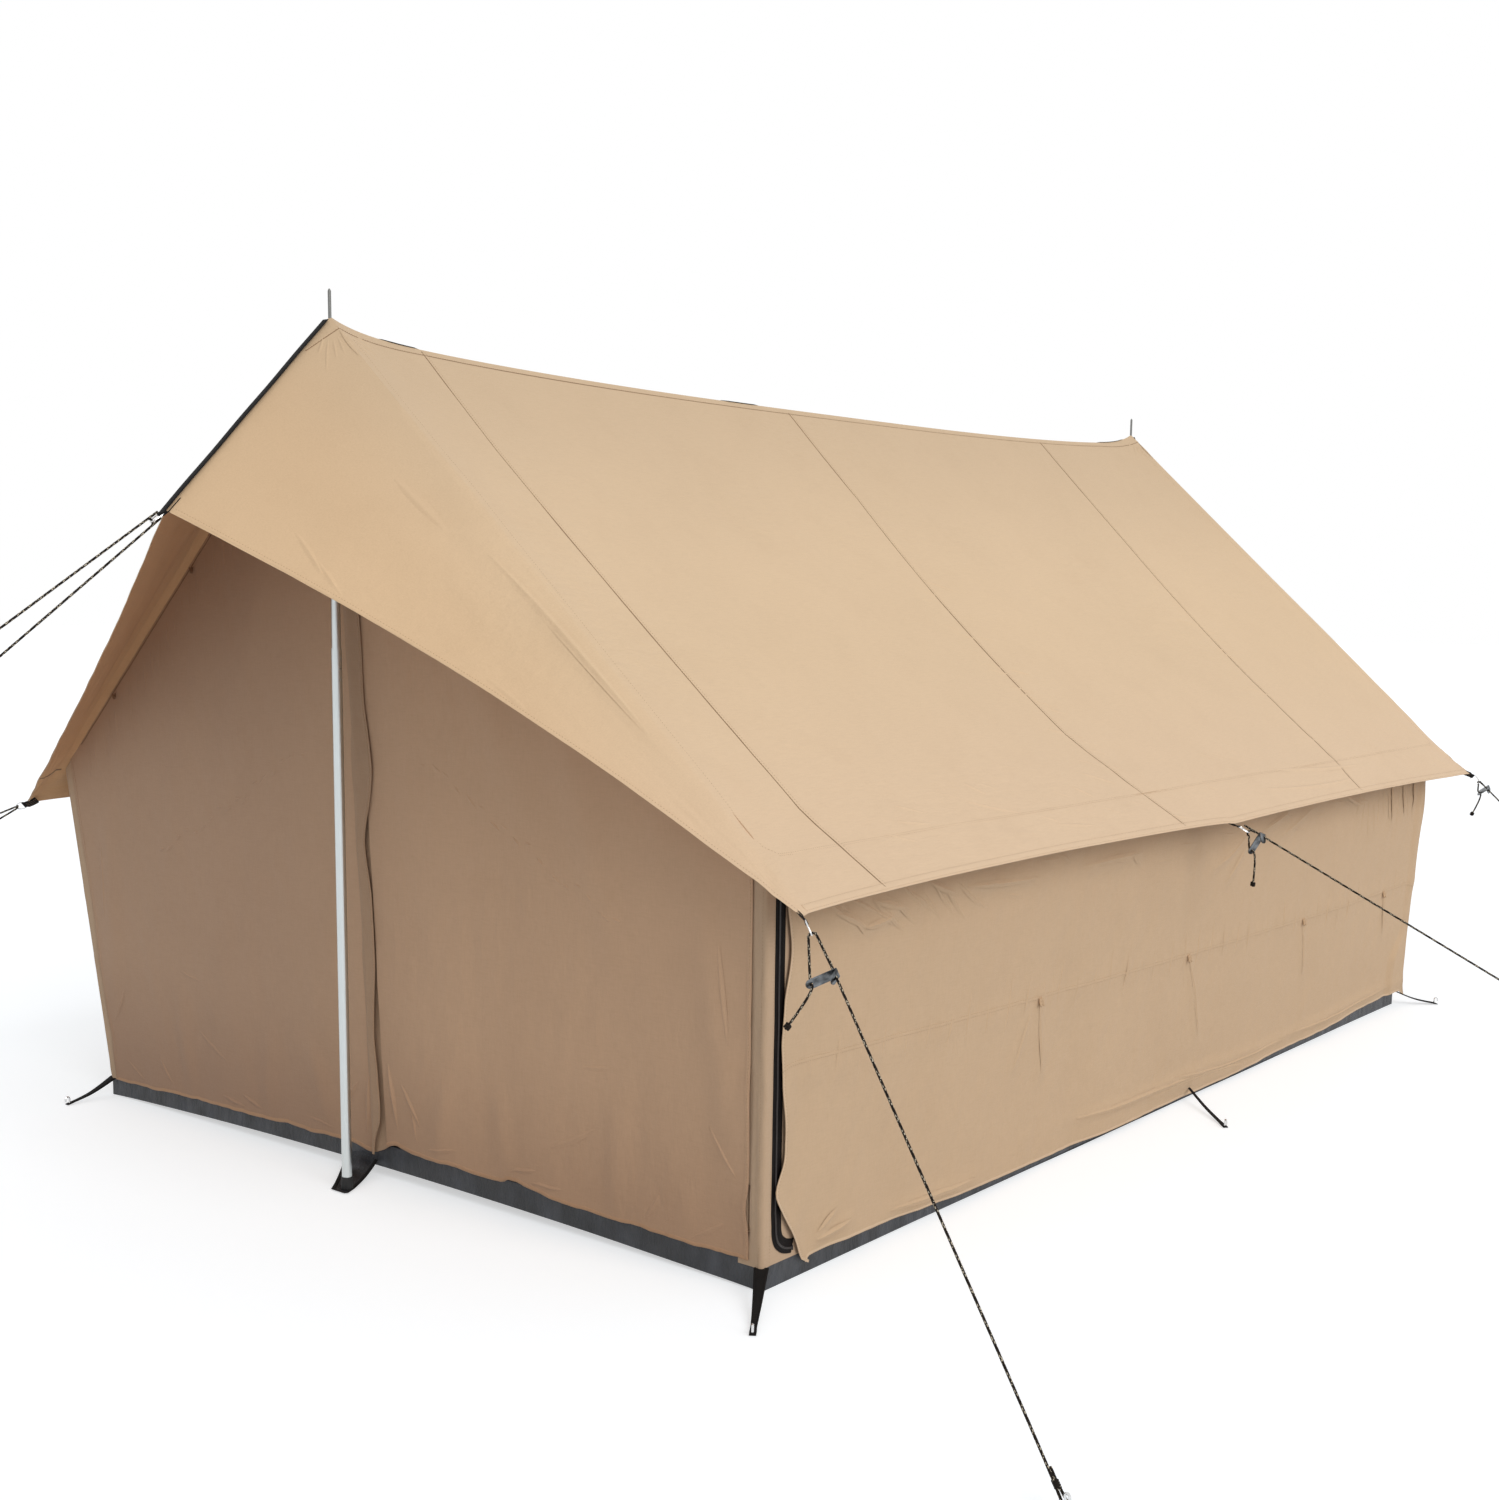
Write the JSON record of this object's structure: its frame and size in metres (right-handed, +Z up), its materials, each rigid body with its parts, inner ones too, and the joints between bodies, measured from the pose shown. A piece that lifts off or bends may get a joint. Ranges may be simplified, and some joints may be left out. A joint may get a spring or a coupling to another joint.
{
  "type": "ridge tent",
  "caption": "Two-pole canvas ridge tent with upright side walls, a sloping beak over each door, telescopic poles, groundsheet and corner guys.",
  "frame": {"origin": "on the ground under the middle of the tent", "axes": "+X to the right seen from the front door, +Y from the front door to the back along the ridge, +Z up"},
  "size_m": [5.1565, 6.3019, 2.492],
  "materials": {
    "roof_canvas": "matt woven canvas",
    "wall_canvas": "matt woven canvas",
    "corner_canvas": "matt woven canvas",
    "zip_tape": "satin coil on woven tape",
    "slider_metal": "black enamel",
    "groundsheet_vinyl": "coated cloth, soft sheen",
    "pole_aluminium": "satin drawn tube",
    "foot_rubber": "matt",
    "spike_steel": "plated, dull",
    "spring_steel": "spring steel",
    "black_webbing": "woven webbing",
    "ring_steel": "plated wire",
    "guy_rope": "braided, pale flecks",
    "runner_metal": "dark grey, worn bright at the holes",
    "peg_steel": "galvanised wire"
  },
  "bodies": {
    "tent": {"roof_canopy": "roof_canvas", "front_ridge_strap": "black_webbing", "back_ridge_strap": "black_webbing", "groundsheet": "groundsheet_vinyl", "corner_strip_front_left": "corner_canvas", "corner_strip_front_right": "corner_canvas", "corner_strip_back_left": "corner_canvas", "corner_strip_back_right": "corner_canvas", "corner_zip_front_left": "zip_tape", "corner_zip_front_right": "zip_tape", "corner_zip_back_left": "zip_tape", "corner_zip_back_right": "zip_tape", "front_pole_lower_tube": "pole_aluminium", "front_pole_foot": "foot_rubber", "back_pole_lower_tube": "pole_aluminium", "back_pole_foot": "foot_rubber", "base_peg_front_left": "peg_steel", "base_peg_front_right": "peg_steel", "base_peg_back_left": "peg_steel", "base_peg_back_right": "peg_steel", "base_peg_middle_left": "peg_steel", "base_peg_middle_right": "peg_steel", "guy_ring_front_right": "ring_steel", "guy_ring_back_right": "ring_steel", "guy_ring_front_left": "ring_steel", "guy_ring_middle_right": "ring_steel", "guy_ring_front_beak": "ring_steel", "guy_rope_front_right": "guy_rope", "guy_rope_back_right": "guy_rope", "guy_rope_front_left": "guy_rope", "guy_rope_middle_right": "guy_rope", "guy_rope_front_beak": "guy_rope", "guy_peg_front_right": "peg_steel", "guy_peg_back_right": "peg_steel", "guy_peg_middle_right": "peg_steel"},
    "front_upper_pole": {"front_pole_upper_tube": "pole_aluminium", "front_pole_spike_plug": "spike_steel"},
    "front_snap_button": {"front_pole_snap_clip": "spring_steel"},
    "front_left_door": {"front_left_door": "wall_canvas"},
    "zip_slider_front_left": {"zip_slider_front_left": "slider_metal"},
    "front_right_door": {"front_right_door": "wall_canvas"},
    "zip_slider_front_right": {"zip_slider_front_right": "slider_metal"},
    "back_upper_pole": {"back_pole_upper_tube": "pole_aluminium", "back_pole_spike_plug": "spike_steel"},
    "back_snap_button": {"back_pole_snap_clip": "spring_steel"},
    "back_left_door": {"back_left_door": "wall_canvas"},
    "zip_slider_back_left": {"zip_slider_back_left": "slider_metal"},
    "back_right_door": {"back_right_door": "wall_canvas"},
    "zip_slider_back_right": {"zip_slider_back_right": "slider_metal"},
    "left_wall": {"left_wall": "wall_canvas"},
    "right_wall": {"right_wall": "wall_canvas"},
    "guy_runner_front_right": {"guy_runner_front_right": "runner_metal"},
    "guy_runner_back_right": {"guy_runner_back_right": "runner_metal"},
    "guy_runner_front_left": {"guy_runner_front_left": "runner_metal"},
    "guy_runner_middle_right": {"guy_runner_middle_right": "runner_metal"},
    "guy_runner_front_beak": {"guy_runner_front_beak": "runner_metal"},
    "guy_ring_back_left": {"guy_ring_back_left": "ring_steel"},
    "guy_ring_middle_left": {"guy_ring_middle_left": "ring_steel"},
    "guy_ring_back_beak": {"guy_ring_back_beak": "ring_steel"}
  },
  "joints": [
    {"name": "front_pole_telescope", "type": "slide", "parent": "tent", "child": "front_upper_pole", "axis": [0, 0, 1], "range_m": [-0.8, 0]},
    {"name": "front_snap_button_press", "type": "slide", "parent": "front_upper_pole", "child": "front_snap_button", "axis": [-1, 0, 0], "range_m": [0, 0.0045], "stiffness_N_per_m": 600, "springref_m": -0.002, "deforming": ["front_pole_snap_clip"]},
    {"name": "back_pole_telescope", "type": "slide", "parent": "tent", "child": "back_upper_pole", "axis": [0, 0, 1], "range_m": [-0.8, 0]},
    {"name": "back_snap_button_press", "type": "slide", "parent": "back_upper_pole", "child": "back_snap_button", "axis": [-1, 0, 0], "range_m": [0, 0.0045], "stiffness_N_per_m": 600, "springref_m": -0.002, "deforming": ["back_pole_snap_clip"]},
    {"name": "front_right_door_swing", "type": "hinge", "parent": "tent", "child": "front_right_door", "pos_m": [0.0165, -2.2617, 2.39113], "axis": [-0.7461, -0.0137, 0.6657], "range_deg": [0, 45]},
    {"name": "front_left_door_swing", "type": "hinge", "parent": "tent", "child": "front_left_door", "pos_m": [-0.0165, -2.2617, 2.39113], "axis": [-0.7461, 0.0137, -0.6657], "range_deg": [0, 45]},
    {"name": "back_right_door_swing", "type": "hinge", "parent": "tent", "child": "back_right_door", "pos_m": [0.0165, 2.2617, 2.39113], "axis": [0.7461, -0.0137, -0.6657], "range_deg": [0, 45]},
    {"name": "back_left_door_swing", "type": "hinge", "parent": "tent", "child": "back_left_door", "pos_m": [-0.0165, 2.2617, 2.39113], "axis": [0.7461, 0.0137, 0.6657], "range_deg": [0, 45]},
    {"name": "left_wall_swing", "type": "hinge", "parent": "tent", "child": "left_wall", "pos_m": [-1.467, 0, 1.097], "axis": [0, 1, 0], "range_deg": [0, 35]},
    {"name": "right_wall_swing", "type": "hinge", "parent": "tent", "child": "right_wall", "pos_m": [1.467, 0, 1.097], "axis": [0, -1, 0], "range_deg": [0, 35]},
    {"name": "zip_slider_front_left_slide", "type": "slide", "parent": "tent", "child": "zip_slider_front_left", "axis": [-0.067, -0.0803, 0.9945], "range_m": [-0.85, 0]},
    {"name": "zip_slider_front_right_slide", "type": "slide", "parent": "tent", "child": "zip_slider_front_right", "axis": [0.067, -0.0803, 0.9945], "range_m": [-0.85, 0]},
    {"name": "zip_slider_back_left_slide", "type": "slide", "parent": "tent", "child": "zip_slider_back_left", "axis": [-0.067, 0.0803, 0.9945], "range_m": [-0.85, 0]},
    {"name": "zip_slider_back_right_slide", "type": "slide", "parent": "tent", "child": "zip_slider_back_right", "axis": [0.067, 0.0803, 0.9945], "range_m": [-0.85, 0]},
    {"name": "guy_runner_front_right_slide", "type": "slide", "parent": "tent", "child": "guy_runner_front_right", "axis": [0.655, -0.278, -0.7027], "range_m": [-0.04, 0.08], "deforming": ["guy_rope_front_right"]},
    {"name": "guy_runner_back_right_slide", "type": "slide", "parent": "tent", "child": "guy_runner_back_right", "axis": [0.6554, 0.2776, -0.7024], "range_m": [-0.02, 0.08], "deforming": ["guy_rope_back_right"]},
    {"name": "guy_runner_front_left_slide", "type": "slide", "parent": "tent", "child": "guy_runner_front_left", "axis": [-0.9042, -0.2454, -0.3495], "range_m": [-0.04, 0.035], "deforming": ["guy_rope_front_left"]},
    {"name": "guy_runner_middle_right_slide", "type": "slide", "parent": "tent", "child": "guy_runner_middle_right", "axis": [0.8264, 0.2805, -0.4883], "range_m": [-0.02, 0.08], "deforming": ["guy_rope_middle_right"]},
    {"name": "guy_runner_front_beak_slide", "type": "slide", "parent": "tent", "child": "guy_runner_front_beak", "axis": [0, -0.8323, -0.5543], "range_m": [-0.08, 0.035], "deforming": ["guy_rope_front_beak"]},
    {"name": "guy_ring_back_left_swing", "type": "hinge", "parent": "tent", "child": "guy_ring_back_left", "pos_m": [-1.62099, 2.29065, 0.96893], "axis": [0.3113, -0.7481, -0.5861], "range_deg": [-45, 45]},
    {"name": "guy_ring_middle_left_swing", "type": "hinge", "parent": "tent", "child": "guy_ring_middle_left", "pos_m": [-1.62368, 0.00464, 0.97243], "axis": [-0.3214, -0.9469, 0], "range_deg": [-45, 45]},
    {"name": "guy_ring_back_beak_swing", "type": "hinge", "parent": "tent", "child": "guy_ring_back_beak", "pos_m": [0, 2.83158, 1.87894], "axis": [1, 0, 0], "range_deg": [-45, 45]}
  ]
}
